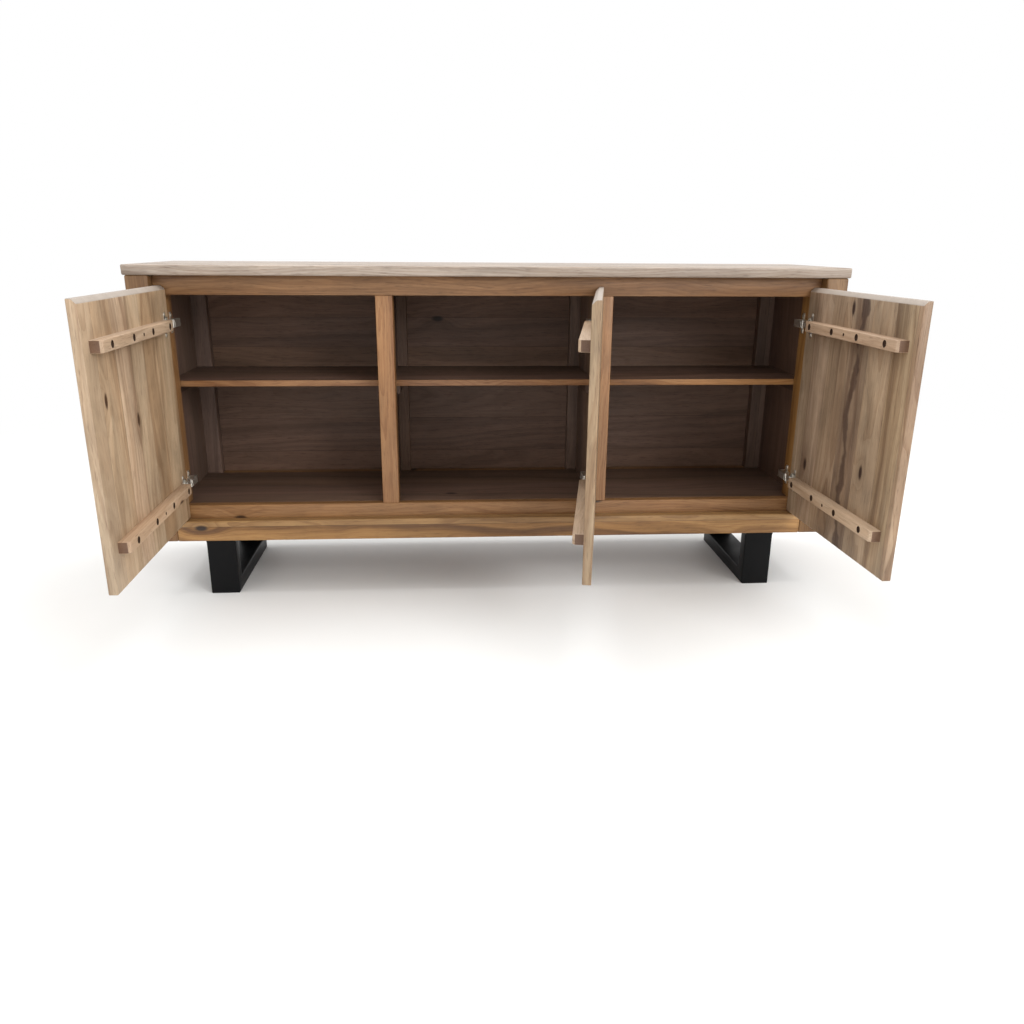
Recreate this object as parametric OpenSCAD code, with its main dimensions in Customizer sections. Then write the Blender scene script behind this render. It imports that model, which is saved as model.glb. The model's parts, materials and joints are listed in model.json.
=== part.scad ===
// Sideboard buffet: a solid wood case of three compartments on two steel loop legs,
// with three battened doors on concealed hinges, shown with the doors open.
// Millimetres. +X is to the right, +Y is to the back, +Z is up.
// The origin is on the floor, at the centre of the space the part takes with its doors open.

/* [Case] */
// Width of the top board
top_w = 1800; // [1300:10:2400]
// Depth of the top board, front to back
top_d = 450; // [400:5:600]
// Thickness of the top board
top_t = 25; // [18:1:40]
// Height from the floor to the upper face of the top board
overall_h = 850; // [700:10:1100]
// How far the top board stands past the case on each side
side_overhang = 5; // [0:1:40]
// How far the top board stands past the case at the front and at the back
front_overhang = 6; // [0:1:40]
// Width of the front posts
post_w = 55; // [40:1:80]
// Depth of the front posts, front to back
post_d = 60; // [60:1:90]
// Width of the rear posts
rear_post_w = 87; // [60:1:120]
// Depth of the rear posts, rear stiles and rear rails
rear_frame_d = 30; // [20:1:45]
// Thickness of the side panels
side_t = 25; // [18:1:30]
// How far the side panels sit in from the outer faces of the posts
side_inset = 20; // [5:1:25]
// Thickness of the back panel
back_t = 16; // [6:1:20]
// Thickness of the floor panel
floor_t = 18; // [12:1:30]

/* [Front frame] */
// Depth from the front of the posts to the inner frame that the doors close on
recess = 32; // [28:1:40]
// Height of the top rail
top_rail_h = 47; // [35:1:80]
// Height of the front bottom rail
front_rail_h = 55; // [40:1:90]
// How far the inner bottom rail stands above the front bottom rail
rail_step = 35; // [20:1:45]
// Width of the front stiles of the dividers
divider_w = 43; // [34:1:50]
// Depth of all the inner front stiles, front to back
stile_d = 60; // [60:1:90]
// Thickness of the divider panels
divider_t = 20; // [15:1:28]
// Width of the rear stiles of the dividers
rear_stile_w = 80; // [50:1:110]

/* [Shelves] */
// Thickness of the shelves
shelf_t = 16; // [12:1:25]
// Height of the upper face of the shelves above the floor panel
shelf_rise = 318; // [200:1:400]
// Gap between a shelf's ends and its walls
shelf_gap = 1; // [0.5:0.5:3]
// How far the shelves' front edges are behind the inner stiles
shelf_setback = 15; // [4:1:60]
// Gap between the shelves and the rear stiles
shelf_back_gap = 2; // [1:1:10]
// Side of the square cleats under the shelves
cleat_s = 20; // [12:1:28]

/* [Doors] */
// Thickness of the doors
door_t = 20; // [18:1:26]
// Gap under the doors, over the front bottom rail
door_bottom_gap = 3; // [2:0.5:6]
// Finger gap between the top board and the upper edges of the doors
finger_gap = 24; // [18:1:40]
// Gap between a closed door and the inner frame
door_rest_gap = 2; // [2:0.5:4]
// Spare room left where a door's hinge edge swings past its neighbour
swing_clearance = 1.7; // [1:0.1:3]
// Chamfer on the upright edges of the front face
front_chamfer = 3; // [2:0.5:4]
// Chamfer on the upright edges of the inner face
inner_chamfer = 1; // [0.5:0.5:2]
// How far the left door is open, in degrees
left_open = 90; // [0:1:95]
// How far the middle door is open, in degrees
middle_open = 80; // [0:1:95]
// How far the right door is open, in degrees
right_open = 91; // [0:1:95]

/* [Door battens] */
// How far the battens stand off the inner face
batten_t = 25; // [18:1:30]
// Height of the battens
batten_h = 25; // [24:1:45]
// Chamfer along the battens
batten_chamfer = 3; // [1:1:5]
// Distance from the door's hinge edge to the battens
batten_start = 46; // [44:1:60]
// Distance from the battens to the door's free edge
batten_stop = 34; // [25:1:60]
// Height of the batten's centre line from the nearer end of the door
batten_from_end = 92; // [70:1:140]
// Distance from the batten's hinge end to its first screw
first_screw = 29; // [20:1:50]
// Distance from the batten's free end to its last screw
last_screw = 54; // [20:1:80]
// Number of screws in each batten
batten_screws_n = 4; // [2:1:6]
// Radius of the counterbores in the battens
counterbore_r = 6.5; // [4:0.5:7]
// Depth of the counterbores
counterbore_d = 9; // [5:1:12]

/* [Concealed hinges] */
// Radius of the hinge cup
cup_r = 17.5; // [17.3:0.1:18.5]
// Depth of the hinge cup in the door
cup_d = 12; // [11.8:0.1:13]
// Distance from the door's hinge edge to the cup
cup_edge = 5; // [4.5:0.1:5.2]
// Wall of the cup
cup_wall = 1; // [0.8:0.1:1.1]
// Distance of the arm's pin from the door's hinge edge, with the door closed
arm_pin_x = 34; // [33.8:0.1:34.2]
// Distance of the arm's pin from the door's inner face, with the door closed
arm_pin_y = 7.5; // [7.3:0.1:7.7]
// Distance of the cup's pin from the door's hinge edge
cup_pin_x = 12; // [11.8:0.1:12.2]
// Depth of the cup's pin below the door's inner face
cup_pin_y = 3.7; // [3.5:0.1:3.9]
// Turn of the link for each degree that the door turns
link_ratio = 0.4; // [0.39:0.01:0.41]
// Radius of the hinge pins
pin_r = 1.2; // [1:0.1:1.4]
// Clearance of the link on its pins, on the radius
pin_clearance = 0.06; // [0.02:0.01:0.1]
// Thickness of the link
link_t = 2; // [1.5:0.1:2.1]
// Width of the link along its pins
link_w = 14; // [10:1:14]
// Distance from the front of the inner frame to the plate's screws
plate_setback = 37; // [30:1:40]

/* [Legs] */
// Height of the legs under the case
leg_h = 150; // [80:5:250]
// Width of the leg tube, seen from the front
leg_w = 76; // [40:1:100]
// Depth of the leg tube
leg_tube_d = 38; // [25:1:39]
// Wall of the leg tube
leg_wall = 2; // [1.5:0.5:4]
// Thickness of the plate on top of each leg
leg_plate_t = 5; // [4:1:8]
// Distance from the end of the top board to the middle of the leg
leg_from_end = 168; // [100:1:300]
// Distance from the case's front to the front of the leg
leg_setback = 5; // [0:1:6]

/* [Screws] */
// Radius of the wood screws' shanks
screw_r = 2; // [1.5:0.1:2.5]
// Radius of the wood screws' heads
screw_head_r = 5; // [4:0.1:5.5]
// Radius of the leg screws' shanks
leg_screw_r = 3; // [2.5:0.1:4]
// Clearance of every screw in its hole, on the radius
screw_clearance = 0.2; // [0.1:0.05:0.4]

/* [Hidden] */
$fn = 48;

// A little extra length that lets a cut run past a face
past = 1;

// Heights of the case
case_bottom = leg_h;
case_top = overall_h - top_t;
front_rail_top = case_bottom + front_rail_h;
floor_top = front_rail_top + rail_step;
opening_top = case_top - top_rail_h;
shelf_top = floor_top + shelf_rise;

// Widths of the case
case_w = top_w - 2 * side_overhang;
front_opening = case_w - 2 * post_w;
side_inner = case_w / 2 - side_inset - side_t;

// Depths of the case, from the front of the posts
case_d = top_d - 2 * front_overhang;
rear_front = case_d - back_t - rear_frame_d;
stile_back = recess + stile_d;
rail_d = post_d - recess;
// How far the back panel stops inside the outline of the case
back_margin = 5;

// Hinge pins of a closed left-hand door, from the hinge edge of its inner face
arm_pin = [arm_pin_x, arm_pin_y];
cup_pin = [cup_pin_x, -cup_pin_y];
// The bend that takes the link round the rim of the cup
link_bend = [arm_pin_x - 14.7, arm_pin_y - 15.8];

function turn(p, a) = [p.x * cos(a) - p.y * sin(a), p.x * sin(a) + p.y * cos(a)];
// Where the cup's pin is when the door is open by this angle
function cup_pin_at(open) = arm_pin + turn(cup_pin - arm_pin, link_ratio * open);
// Where a point of the closed door is when the door is open by this angle
function door_point(p, open) = cup_pin_at(open) + turn(p - cup_pin, -open);

// The hinge edge needs this much room beside it as the door swings
hinge_corners = [[0, front_chamfer - door_t], [front_chamfer, -door_t]];
swing_reach = -min([for (open = [0 : 3 : 93], corner = hinge_corners) door_point(corner, open).x]);
door_gap = ceil(10 * (swing_reach + swing_clearance)) / 10;
door_w = (front_opening - 4 * door_gap) / 3;
door_bottom = front_rail_top + door_bottom_gap;
door_top = case_top - finger_gap;
door_h = door_top - door_bottom;
door_inner_y = recess - door_rest_gap;

// The inner stiles' side faces, which carry the hinges, from the closed door's hinge edge
overlay = (divider_w - door_gap) / 2;
inner_stile_w = overlay + door_gap;
divider_x = (door_w + door_gap) / 2;

door_outline = [
  [0, front_chamfer - door_t], [front_chamfer, -door_t],
  [door_w - front_chamfer, -door_t], [door_w, front_chamfer - door_t],
  [door_w, -inner_chamfer], [door_w - inner_chamfer, 0],
  [inner_chamfer, 0], [0, -inner_chamfer]
];
door_reach = min([for (open = [left_open, middle_open, right_open], p = door_outline)
  door_point(p, open).y]);

// The front of the posts, so that the origin is midway between the open doors and the back,
// to the nearest tenth
case_front = -round(5 * (door_inner_y + door_reach + case_d + front_overhang)) / 10;

// Hinge edges of the closed doors
left_hinge_x = -(door_w * 3 / 2 + door_gap);
middle_hinge_x = door_w / 2;
right_hinge_x = door_w * 3 / 2 + door_gap;
batten_zs = [door_bottom + batten_from_end, door_top - batten_from_end];
hinge_zs = batten_zs;

batten_l = door_w - batten_start - batten_stop;
screw_step = (batten_l - first_screw - last_screw) / (batten_screws_n - 1);
batten_screw_xs = [for (i = [0 : batten_screws_n - 1]) batten_start + first_screw + i * screw_step];
dowel_x = batten_start + first_screw + screw_step * (floor(batten_screws_n / 2) - 0.5);
dowel_r = 2.5;
dowel_d = 8;
screw_head_t = 2.5;
batten_screw_l = batten_t - counterbore_d + 12;

// Cup, its wings and its screws
cup_x = cup_edge + cup_r;
cup_fit = 0.15;
flange_t = 1;
flange_lip = 1.5;
wing_x = cup_x + 9.5;
wing_z = 24;
wing_r = 6;
cup_screw_r = 1.8;
cup_screw_head_r = 3.6;
cup_screw_head_t = 0.9;
cup_screw_l = 12;
cup_pin_l = 2 * sqrt(pow(cup_r - cup_wall / 2, 2) - pow(cup_x - cup_pin_x, 2));

// Arm and plate
knuckle_wall = 1.1;
arm_half = 4;
arm_gap = 0.8;
arm_wall = 1.5;
arm_w = link_w + 2 * (arm_gap + arm_wall);
arm_front = arm_pin_y + 3.4;
plate_y = door_rest_gap + plate_setback;
plate_l = 36;
plate_wing_t = 1.5;
plate_wing_l = 12;
plate_wing_w = 52;
plate_screw_z = 18;
plate_screw_l = 14;
plate_screw_head_t = 1.8;
arm_base = arm_pin_x - arm_half;

// Legs
leg_x = top_w / 2 - leg_from_end;
leg_tube_top = leg_h - leg_plate_t;
leg_screw_margin = 14;
leg_screw_l = 40;
leg_screw_head_r = 5;
leg_screw_head_t = 3;
leg_screw_xs = [-leg_w / 4, leg_w / 4];
leg_screw_ys = [post_d - 10, rear_front + rear_frame_d / 2];
leg_d = leg_screw_ys[1] - leg_screw_margin - leg_setback;

// Top screws
top_screw_l = top_rail_h - counterbore_d + 14;
top_screw_xs = [for (i = [-3 : 2 : 3]) i * front_opening / 8];
top_screw_ys = [recess + rail_d / 2, rear_front + rear_frame_d / 2];

// A box given by its lowest and highest corners, with y from the front of the posts
module block(low, high) {
  translate([low.x, case_front + low.y, low.z]) cube(high - low);
}

module mirrored_pair_side(side) {
  if (side < 0) mirror([1, 0, 0]) children();
  else children();
}

// ---- top, posts, panels and rails ----

module top_board() {
  color("burlywood")
  difference() {
    block([-top_w / 2, -front_overhang, case_top],
          [top_w / 2, case_d + front_overhang, overall_h]);
    screw_holes_up(case_top - past, past + top_screw_l - top_rail_h + counterbore_d + 1);
  }
}

// Upright holes for the screws that hold the top board
module screw_holes_up(bottom, length) {
  for (x = top_screw_xs, y = top_screw_ys)
    translate([x, case_front + y, bottom]) cylinder(r = screw_r + screw_clearance, h = length);
}

module front_post(side) {
  color("peru")
  mirrored_pair_side(side)
    block([case_w / 2 - post_w, 0, case_bottom], [case_w / 2, post_d, case_top]);
}

module rear_post(side) {
  color("peru")
  mirrored_pair_side(side)
    block([case_w / 2 - rear_post_w, rear_front, case_bottom],
          [case_w / 2, rear_front + rear_frame_d, case_top]);
}

module side_panel(side) {
  color("peru")
  mirrored_pair_side(side)
    block([side_inner, post_d, case_bottom], [side_inner + side_t, rear_front, case_top]);
}

// A rail between its two posts, drilled for the top board's screws
module top_rail(half_w, front, depth) {
  color("sienna")
  difference() {
    block([-half_w, front, opening_top], [half_w, front + depth, case_top]);
    for (x = top_screw_xs) translate([x, case_front + front + depth / 2, opening_top]) {
      translate([0, 0, -past]) cylinder(r = screw_r + screw_clearance, h = top_rail_h + 2 * past);
      translate([0, 0, -past]) cylinder(r = counterbore_r, h = counterbore_d + past);
    }
  }
}

module bottom_front_rail() {
  color("peru")
  block([-front_opening / 2, 0, case_bottom], [front_opening / 2, recess, front_rail_top]);
}

// Blind holes for the leg screws at one depth of the case
module leg_screw_holes(y) {
  for (side = [-1, 1], x = leg_screw_xs)
    translate([side * leg_x + x, case_front + y, case_bottom - past])
      cylinder(r = leg_screw_r + screw_clearance, h = leg_screw_l - leg_plate_t + past + 1);
}

module bottom_inner_rail() {
  color("peru")
  difference() {
    block([-front_opening / 2, recess, case_bottom], [front_opening / 2, post_d, floor_top]);
    leg_screw_holes(leg_screw_ys[0]);
  }
}

module bottom_rear_rail() {
  color("sienna")
  difference() {
    block([rear_post_w - case_w / 2, rear_front, case_bottom],
          [case_w / 2 - rear_post_w, rear_front + rear_frame_d, floor_top]);
    leg_screw_holes(leg_screw_ys[1]);
  }
}

// ---- inner stiles, dividers, floor and back ----

// Screw holes of the two hinges of one door, in the stile that carries them
module stile_screw_holes(hinge_x, side) {
  at_hinges(hinge_x, side) plate_screw_places()
    cylinder(r = screw_r + screw_clearance, h = plate_screw_l + past, center = false);
}

module inner_stile(side) {
  color("peru")
  difference() {
    mirrored_pair_side(side)
      block([front_opening / 2 - inner_stile_w, recess, floor_top],
            [front_opening / 2, stile_back, opening_top]);
    if (side < 0) stile_screw_holes(left_hinge_x, 1);
    else stile_screw_holes(right_hinge_x, -1);
  }
}

module divider_stile(side) {
  color("peru")
  difference() {
    mirrored_pair_side(side)
      block([divider_x - divider_w / 2, recess, floor_top],
            [divider_x + divider_w / 2, stile_back, opening_top]);
    if (side > 0) stile_screw_holes(middle_hinge_x, -1);
  }
}

module divider_rear_stile(side) {
  color("sienna")
  mirrored_pair_side(side)
    block([divider_x - rear_stile_w / 2, rear_front, floor_top],
          [divider_x + rear_stile_w / 2, rear_front + rear_frame_d, opening_top]);
}

module divider_panel(side) {
  color("saddlebrown")
  mirrored_pair_side(side)
    block([divider_x - divider_t / 2, stile_back, floor_top],
          [divider_x + divider_t / 2, rear_front, case_top]);
}

module floor_panel() {
  color("saddlebrown")
  block([-side_inner, post_d, floor_top - floor_t], [side_inner, rear_front, floor_top]);
}

module back_panel() {
  color("saddlebrown")
  block([back_margin - case_w / 2, rear_front + rear_frame_d, case_bottom + back_margin],
        [case_w / 2 - back_margin, case_d, case_top - back_margin]);
}

// ---- shelves ----

module shelf(low_x, high_x) {
  color("sienna")
  block([low_x + shelf_gap, stile_back + shelf_setback, shelf_top - shelf_t],
        [high_x - shelf_gap, rear_front - shelf_back_gap, shelf_top]);
}

module shelf_cleats() {
  color("sienna")
  for (side = [-1, 1]) mirrored_pair_side(side)
    for (x = [side_inner - cleat_s, divider_x + divider_t / 2, divider_x - divider_t / 2 - cleat_s])
      block([x, stile_back + shelf_setback, shelf_top - shelf_t - cleat_s],
            [x + cleat_s, rear_front - shelf_back_gap, shelf_top - shelf_t]);
}

// ---- legs: mitred rectangular tubes with a drilled plate on top ----

// An outline in depth and height, pulled out to the width of the tube less an inset each side
module leg_slice(outline, inset) {
  translate([leg_x - leg_w / 2 + inset, case_front + leg_setback, 0])
    rotate([90, 0, 90]) linear_extrude(leg_w - 2 * inset) polygon(outline);
}

module upright_tube(mirror_depth) {
  low = leg_tube_d;
  outline = [[0, 0], [low, low], [low, leg_tube_top], [0, leg_tube_top]];
  bore = [[leg_wall, -past], [low - leg_wall, -past],
          [low - leg_wall, leg_h], [leg_wall, leg_h]];
  function place(points) = mirror_depth ? [for (p = points) [leg_d - p.x, p.y]] : points;
  color("dimgray")
  difference() {
    leg_slice(place(outline), 0);
    leg_slice(place(bore), leg_wall);
  }
}

module bottom_tube() {
  low = leg_tube_d;
  outline = [[0, 0], [leg_d, 0], [leg_d - low, low], [low, low]];
  bore = [[-past, leg_wall], [leg_d + past, leg_wall],
          [leg_d + past, low - leg_wall], [-past, low - leg_wall]];
  color("dimgray")
  difference() {
    leg_slice(outline, 0);
    leg_slice(bore, leg_wall);
  }
}

module leg_plate() {
  color("dimgray")
  difference() {
    block([leg_x - leg_w / 2, leg_setback, leg_tube_top],
          [leg_x + leg_w / 2, leg_screw_ys[1] + leg_screw_margin, leg_h]);
    for (x = leg_screw_xs, y = leg_screw_ys)
      translate([leg_x + x, case_front + y, leg_tube_top - past])
        cylinder(r = leg_screw_r + screw_clearance, h = leg_plate_t + 2 * past);
  }
}

// ---- screws ----

// A screw along +Z: its head ends at the origin and its shank runs up from there
module screw(shank_r, length, head_r, head_t) {
  cylinder(r = shank_r, h = length);
  translate([0, 0, -head_t]) cylinder(r = head_r, h = head_t);
}

module top_screws() {
  color("dimgray")
  for (x = top_screw_xs, y = top_screw_ys)
    translate([x, case_front + y, opening_top + counterbore_d])
      screw(screw_r, top_screw_l, screw_head_r, screw_head_t);
}

module leg_screws() {
  color("dimgray")
  for (side = [-1, 1], x = leg_screw_xs, y = leg_screw_ys)
    translate([side * leg_x + x, case_front + y, leg_tube_top])
      screw(leg_screw_r, leg_screw_l, leg_screw_head_r, leg_screw_head_t);
}

// ---- places of the doors and hinges ----

// The hinge edge of a closed door's inner face; side 1 is hinged on the left, -1 on the right
module at_door(hinge_x, side) {
  translate([hinge_x, case_front + door_inner_y, 0])
    if (side < 0) mirror([1, 0, 0]) children();
    else children();
}

// The same place at the height of each hinge
module at_hinges(hinge_x, side) {
  at_door(hinge_x, side) for (z = hinge_zs) translate([0, 0, z]) children();
}

// Turns a closed door about the cup's pin, which the link has carried out
module swing_door(open) {
  out = cup_pin_at(open);
  translate([out.x, out.y, 0]) rotate([0, 0, -open])
    translate([-cup_pin.x, -cup_pin.y, 0]) children();
}

// Turns the links about the arm's pin
module swing_link(open) {
  translate([arm_pin.x, arm_pin.y, 0]) rotate([0, 0, link_ratio * open])
    translate([-arm_pin.x, -arm_pin.y, 0]) children();
}

// The two plate screws of a hinge; +Z of each place points into the stile
module plate_screw_places() {
  for (z = [-plate_screw_z, plate_screw_z])
    translate([overlay, plate_y, z]) rotate([0, -90, 0]) children();
}

// ---- concealed hinge ----

module hinge_plate() {
  difference() {
    union() {
      translate([overlay, plate_y - plate_l / 2, -arm_w / 2])
        cube([arm_base - overlay, plate_l, arm_w]);
      translate([overlay, plate_y - plate_wing_l / 2, -plate_wing_w / 2])
        cube([plate_wing_t, plate_wing_l, plate_wing_w]);
    }
    plate_screw_places() translate([0, 0, -plate_wing_t - past])
      cylinder(r = screw_r + screw_clearance, h = plate_wing_t + 2 * past);
  }
}

module hinge_arm() {
  arm_back = plate_y + plate_l / 2;
  // Two cheeks that hold the pin, and the web that joins them
  for (z = [-arm_w / 2, arm_w / 2 - arm_wall]) translate([0, 0, z]) {
    translate([arm_pin.x, arm_pin.y, 0]) cylinder(r = arm_half, h = arm_wall);
    translate([arm_base, arm_pin.y, 0]) cube([2 * arm_half, arm_back - arm_pin.y, arm_wall]);
  }
  translate([arm_base + 2 * arm_half - arm_wall, arm_front, -arm_w / 2])
    cube([arm_wall, arm_back - arm_front, arm_w]);
  translate([arm_pin.x, arm_pin.y, -arm_w / 2]) cylinder(r = pin_r, h = arm_w);
}

// A flat bar between two points, seen along the pins
module bar(a, b) {
  d = b - a;
  translate([a.x, a.y]) rotate(atan2(d.y, d.x)) translate([0, -link_t / 2]) square([norm(d), link_t]);
}

module hinge_link() {
  bore_r = pin_r + pin_clearance;
  translate([0, 0, -link_w / 2]) linear_extrude(link_w) difference() {
    union() {
      bar(arm_pin, link_bend);
      bar(link_bend, cup_pin);
      translate([link_bend.x, link_bend.y]) circle(r = link_t / 2);
      for (p = [arm_pin, cup_pin]) translate([p.x, p.y]) circle(r = bore_r + knuckle_wall);
    }
    for (p = [arm_pin, cup_pin]) translate([p.x, p.y]) circle(r = bore_r);
  }
}

// The two cup screws of a hinge; +Z of each place points into the door
module cup_screw_places() {
  for (z = [-wing_z, wing_z]) translate([wing_x, 0, z]) rotate([90, 0, 0]) children();
}

module hinge_cup() {
  difference() {
    union() {
      translate([cup_x, 0, 0]) rotate([90, 0, 0]) cylinder(r = cup_r, h = cup_d);
      translate([cup_x, flange_t, 0]) rotate([90, 0, 0])
        cylinder(r = cup_r + flange_lip, h = flange_t);
      translate([wing_x - wing_r, 0, -wing_z]) cube([2 * wing_r, flange_t, 2 * wing_z]);
      cup_screw_places() translate([0, 0, -flange_t]) cylinder(r = wing_r, h = flange_t);
    }
    translate([cup_x, flange_t + past, 0]) rotate([90, 0, 0])
      cylinder(r = cup_r - cup_wall, h = cup_d - cup_wall + flange_t + past);
    cup_screw_places() translate([0, 0, -flange_t - past])
      cylinder(r = cup_screw_r + screw_clearance, h = flange_t + 2 * past);
  }
  translate([cup_pin.x, cup_pin.y, -cup_pin_l / 2]) cylinder(r = pin_r, h = cup_pin_l);
}

// ---- doors ----

// The screw places of one batten; +Z of each place points into the door
module batten_screw_places(z) {
  for (x = batten_screw_xs)
    translate([x, batten_t - counterbore_d, z]) rotate([90, 0, 0]) children();
}

module door_panel() {
  difference() {
    translate([0, 0, door_bottom]) linear_extrude(door_h) polygon(door_outline);
    for (z = batten_zs) batten_screw_places(z)
      cylinder(r = screw_r + screw_clearance, h = batten_screw_l + 1);
    for (z = hinge_zs) translate([0, 0, z]) {
      translate([cup_x, past, 0]) rotate([90, 0, 0])
        cylinder(r = cup_r + cup_fit, h = cup_d + cup_fit + past);
      cup_screw_places() translate([0, 0, -past])
        cylinder(r = cup_screw_r + screw_clearance, h = cup_screw_l + past + 1);
    }
  }
}

module batten(z) {
  c = batten_chamfer;
  half = batten_h / 2;
  outline = [[0, -half], [batten_t - c, -half], [batten_t, c - half],
             [batten_t, half - c], [batten_t - c, half], [0, half]];
  difference() {
    translate([batten_start, 0, z]) rotate([90, 0, 90]) linear_extrude(batten_l) polygon(outline);
    batten_screw_places(z) {
      translate([0, 0, -counterbore_d - past]) cylinder(r = counterbore_r, h = counterbore_d + past);
      cylinder(r = screw_r + screw_clearance, h = batten_t);
    }
    translate([dowel_x, batten_t + past, z]) rotate([90, 0, 0])
      cylinder(r = dowel_r, h = dowel_d + past);
  }
}

module batten_screws() {
  for (z = batten_zs) batten_screw_places(z)
    screw(screw_r, batten_screw_l, screw_head_r, screw_head_t);
}

module hinge_cups() {
  for (z = hinge_zs) translate([0, 0, z]) hinge_cup();
}

module cup_screws() {
  for (z = hinge_zs) translate([0, 0, z]) cup_screw_places() translate([0, 0, -flange_t])
    screw(cup_screw_r, cup_screw_l, cup_screw_head_r, cup_screw_head_t);
}

module left_door(colour) { color(colour) at_door(left_hinge_x, 1) swing_door(left_open) children(); }
module middle_door(colour) { color(colour) at_door(middle_hinge_x, -1) swing_door(middle_open) children(); }
module right_door(colour) { color(colour) at_door(right_hinge_x, -1) swing_door(right_open) children(); }

module left_hinges() { at_hinges(left_hinge_x, 1) children(); }
module middle_hinges() { at_hinges(middle_hinge_x, -1) children(); }
module right_hinges() { at_hinges(right_hinge_x, -1) children(); }

module every_hinge() {
  color("silver") {
    left_hinges() children();
    middle_hinges() children();
    right_hinges() children();
  }
}

rear_half = case_w / 2 - rear_post_w;
wood = "tan";
metal = "silver";
dark = "dimgray";

top_board();
front_post(-1);  // left_front_post
front_post(1);  // right_front_post
rear_post(-1);  // left_rear_post
rear_post(1);  // right_rear_post
side_panel(-1);  // left_side_panel
side_panel(1);  // right_side_panel
top_rail(front_opening / 2, recess, rail_d);  // top_front_rail
bottom_front_rail();
bottom_inner_rail();
top_rail(rear_half, rear_front, rear_frame_d);  // top_rear_rail
bottom_rear_rail();
inner_stile(-1);  // left_inner_stile
inner_stile(1);  // right_inner_stile
divider_stile(-1);  // left_divider_stile
divider_stile(1);  // right_divider_stile
divider_rear_stile(-1);  // left_divider_rear_stile
divider_rear_stile(1);  // right_divider_rear_stile
divider_panel(-1);  // left_divider_panel
divider_panel(1);  // right_divider_panel
floor_panel();
back_panel();
shelf(-side_inner, -divider_x - divider_t / 2);  // left_shelf
shelf(divider_t / 2 - divider_x, divider_x - divider_t / 2);  // middle_shelf
shelf(divider_x + divider_t / 2, side_inner);  // right_shelf
shelf_cleats();
top_screws();
leg_screws();
mirror([1, 0, 0]) upright_tube(false);  // left_leg_front_tube
mirror([1, 0, 0]) upright_tube(true);  // left_leg_rear_tube
mirror([1, 0, 0]) bottom_tube();  // left_leg_bottom_tube
mirror([1, 0, 0]) leg_plate();  // left_leg_plate
upright_tube(false);  // right_leg_front_tube
upright_tube(true);  // right_leg_rear_tube
bottom_tube();  // right_leg_bottom_tube
leg_plate();  // right_leg_plate
every_hinge() hinge_arm();  // hinge_arms
every_hinge() hinge_plate();  // hinge_plates
every_hinge() plate_screw_places()  // plate_screws
  translate([0, 0, -plate_wing_t]) screw(screw_r, plate_screw_l, screw_head_r, plate_screw_head_t);
color(metal) left_hinges() swing_link(left_open) hinge_link();  // left_hinge_links
color(metal) middle_hinges() swing_link(middle_open) hinge_link();  // middle_hinge_links
color(metal) right_hinges() swing_link(right_open) hinge_link();  // right_hinge_links
left_door(wood) door_panel();  // left_door_panel
left_door(wood) batten(batten_zs[1]);  // left_top_batten
left_door(wood) batten(batten_zs[0]);  // left_bottom_batten
left_door(dark) batten_screws();  // left_batten_screws
left_door(metal) hinge_cups();  // left_hinge_cups
left_door(metal) cup_screws();  // left_cup_screws
middle_door(wood) door_panel();  // middle_door_panel
middle_door(wood) batten(batten_zs[1]);  // middle_top_batten
middle_door(wood) batten(batten_zs[0]);  // middle_bottom_batten
middle_door(dark) batten_screws();  // middle_batten_screws
middle_door(metal) hinge_cups();  // middle_hinge_cups
middle_door(metal) cup_screws();  // middle_cup_screws
right_door(wood) door_panel();  // right_door_panel
right_door(wood) batten(batten_zs[1]);  // right_top_batten
right_door(wood) batten(batten_zs[0]);  // right_bottom_batten
right_door(dark) batten_screws();  // right_batten_screws
right_door(metal) hinge_cups();  // right_hinge_cups
right_door(metal) cup_screws();  // right_cup_screws
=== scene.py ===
# %% [markdown]
# # A live-edge sideboard with its doors open
#
# The real piece is a solid hardwood case on two black steel loops. Its three doors are glued
# panels held flat by battens and hung on concealed hinges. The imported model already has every
# part at its true size, so this script loads it as a fixed frame and gives each part its finish:
# eased edges on the wood, a wavy live edge on the top, rounded steel tube and bright hinges.

import json
import math

import bmesh
import bpy
from mathutils import Matrix, Vector, noise


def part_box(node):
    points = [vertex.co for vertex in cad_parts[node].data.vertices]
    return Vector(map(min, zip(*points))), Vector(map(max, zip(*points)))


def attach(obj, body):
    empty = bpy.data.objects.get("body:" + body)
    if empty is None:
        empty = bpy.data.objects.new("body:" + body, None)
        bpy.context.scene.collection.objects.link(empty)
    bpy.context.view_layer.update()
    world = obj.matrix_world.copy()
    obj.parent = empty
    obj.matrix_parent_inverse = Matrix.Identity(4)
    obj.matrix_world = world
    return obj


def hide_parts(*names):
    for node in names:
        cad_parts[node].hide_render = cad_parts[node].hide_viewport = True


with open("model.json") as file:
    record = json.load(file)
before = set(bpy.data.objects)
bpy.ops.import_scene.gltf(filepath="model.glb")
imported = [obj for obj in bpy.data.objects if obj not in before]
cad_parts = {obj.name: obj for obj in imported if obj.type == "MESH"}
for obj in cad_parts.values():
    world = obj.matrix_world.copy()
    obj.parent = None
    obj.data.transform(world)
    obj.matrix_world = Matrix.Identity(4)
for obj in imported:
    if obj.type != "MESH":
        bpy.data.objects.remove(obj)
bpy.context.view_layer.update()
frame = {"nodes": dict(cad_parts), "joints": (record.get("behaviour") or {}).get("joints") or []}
joints = {joint["name"]: joint for joint in frame["joints"]}

# %% [markdown]
# ## Colours and nodes
#
# Colours are written as sRGB hex values, which is how a paint or stain chart gives them. The
# renderer works in linear light, so one function turns them. A second function adds a shader node
# with its settings and its links; a material is then a short list of such calls.


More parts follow.
